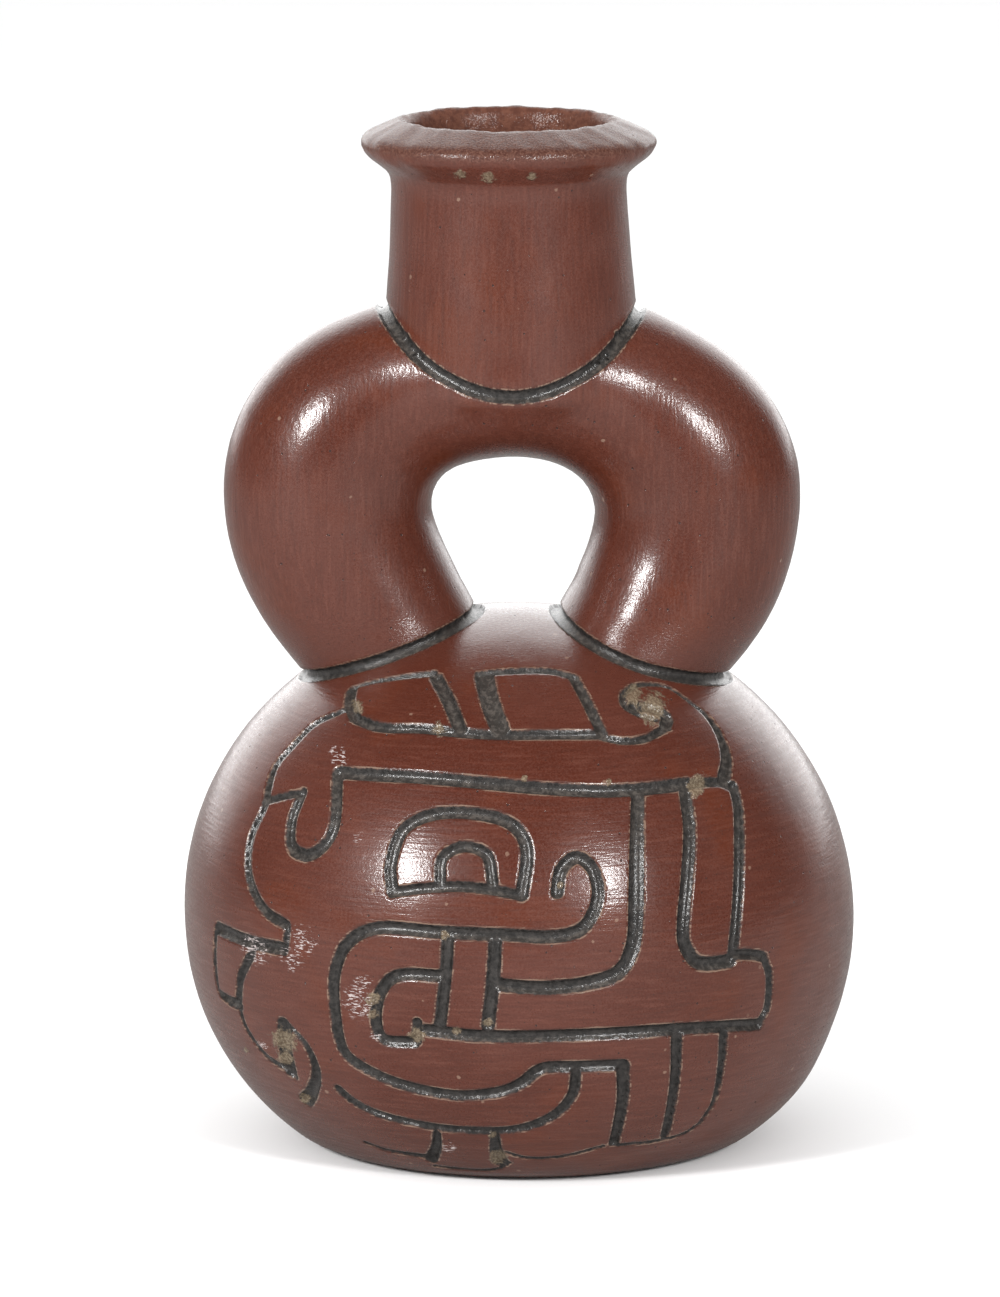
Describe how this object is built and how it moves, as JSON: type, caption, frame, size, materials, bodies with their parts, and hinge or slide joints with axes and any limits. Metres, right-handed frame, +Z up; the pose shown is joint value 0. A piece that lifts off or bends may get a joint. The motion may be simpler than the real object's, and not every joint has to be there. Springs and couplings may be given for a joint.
{
  "type": "stirrup spout vessel",
  "caption": "Round burnished clay bottle with a carved feline head on its front, hollow stirrup handle and flanged central spout.",
  "frame": {"origin": "middle of the flat base, on the surface it stands on", "axes": "+Z up through the spout, +X to the viewer's right, the carved front faces -Y, the stirrup arch lies in the XZ plane"},
  "size_m": [0.148, 0.148, 0.2265],
  "materials": {
    "burnished_clay": "burnished dark red-brown slip, glossy, with grey in the cut lines"
  },
  "bodies": {
    "root": {"vessel": "burnished_clay"}
  },
  "joints": []
}
